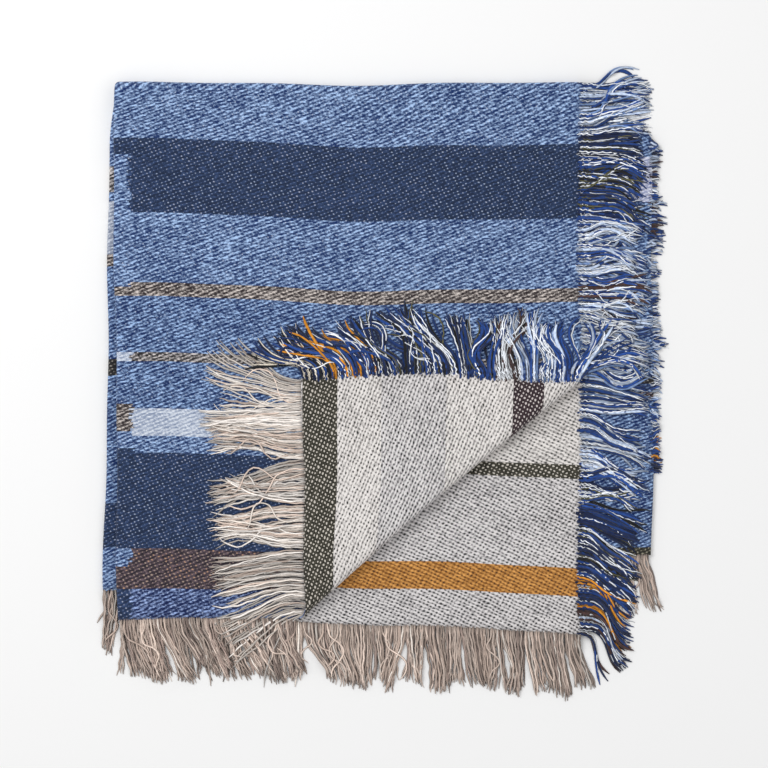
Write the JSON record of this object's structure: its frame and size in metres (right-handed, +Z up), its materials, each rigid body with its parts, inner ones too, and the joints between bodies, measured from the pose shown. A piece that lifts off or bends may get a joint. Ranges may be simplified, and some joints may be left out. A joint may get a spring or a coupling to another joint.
{
  "type": "folded striped cotton throw blanket",
  "caption": "Fringed striped cotton throw folded in four and laid flat, with one corner turned back to show its pale reverse.",
  "frame": {"origin": "centre of the box's underside, on the surface that the throw lies on", "axes": "+X across the folded throw away from its left fold, +Y towards its top fold, +Z up"},
  "size_m": [0.7306, 0.787, 0.0332],
  "materials": {
    "woven_cotton": "soft matte weft-faced twill in blue, navy, grey and brown stripes, with a pale reverse",
    "weft_yarn": "loose coloured cotton weft ends",
    "warp_yarn": "loose natural cotton warp ends"
  },
  "bodies": {
    "root": {"blanket": "woven_cotton", "fringe_layer4_hem": "warp_yarn", "fringe_layer4_side": "weft_yarn", "fringe_layer3_hem": "warp_yarn", "fringe_layer3_side": "weft_yarn", "fringe_layer2_hem": "warp_yarn", "fringe_layer2_side": "weft_yarn", "fringe_layer1_hem": "warp_yarn", "fringe_layer1_side": "weft_yarn", "fringe_flap_left": "warp_yarn", "fringe_flap_top": "weft_yarn"}
  },
  "joints": []
}
